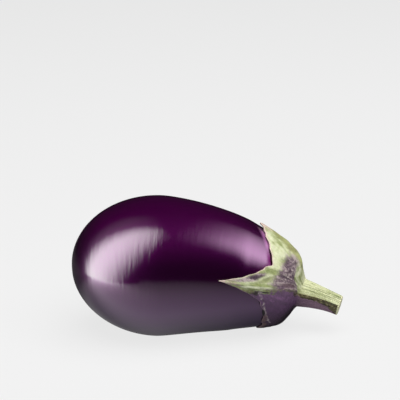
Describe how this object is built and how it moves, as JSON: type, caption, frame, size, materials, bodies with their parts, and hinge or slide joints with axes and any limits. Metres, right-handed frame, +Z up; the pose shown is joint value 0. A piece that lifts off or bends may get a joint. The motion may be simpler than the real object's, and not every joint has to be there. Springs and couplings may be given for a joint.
{
  "type": "eggplant",
  "caption": "Glossy dark purple eggplant lying on its side, with a green calyx of pointed sepals and a short cut stalk, resting on a small flat spot.",
  "frame": {"origin": "middle of the bottom of the bounding box, on the surface that the eggplant lies on", "axes": "+X along the fruit from the blossom end to the stalk, +Y to its back, +Z up"},
  "size_m": [0.1676, 0.0872, 0.0865],
  "materials": {
    "skin": "waxy, glossy dark purple fruit skin",
    "calyx": "satin to matt yellow-green calyx tissue, mottled purple"
  },
  "bodies": {
    "root": {"fruit": "skin", "calyx_and_stalk": "calyx"}
  },
  "joints": []
}
